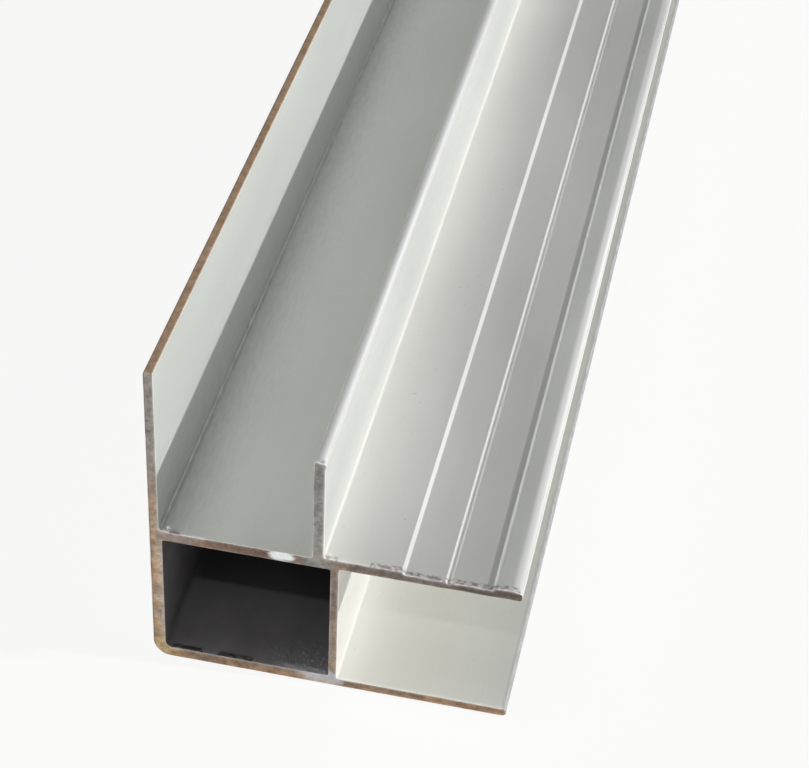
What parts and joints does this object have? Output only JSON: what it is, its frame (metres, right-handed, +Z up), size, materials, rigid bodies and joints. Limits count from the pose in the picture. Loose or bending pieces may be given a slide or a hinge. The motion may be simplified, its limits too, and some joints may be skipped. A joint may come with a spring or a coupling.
{
  "type": "aluminium extrusion profile",
  "caption": "Straight aluminium extrusion with a hollow chamber, upright fins and open flanges, satin anodised with bare sawn ends, as stock to cut to length.",
  "frame": {"origin": "middle of the bounding box at the level of the base's underside", "axes": "+Y along the length, +Z up from the base, +X from the side wall towards the open flanges"},
  "size_m": [0.061, 1, 0.0603],
  "materials": {
    "anodised_aluminium": "satin anodised, with bare sawn ends"
  },
  "bodies": {
    "root": {"profile": "anodised_aluminium"}
  },
  "joints": []
}
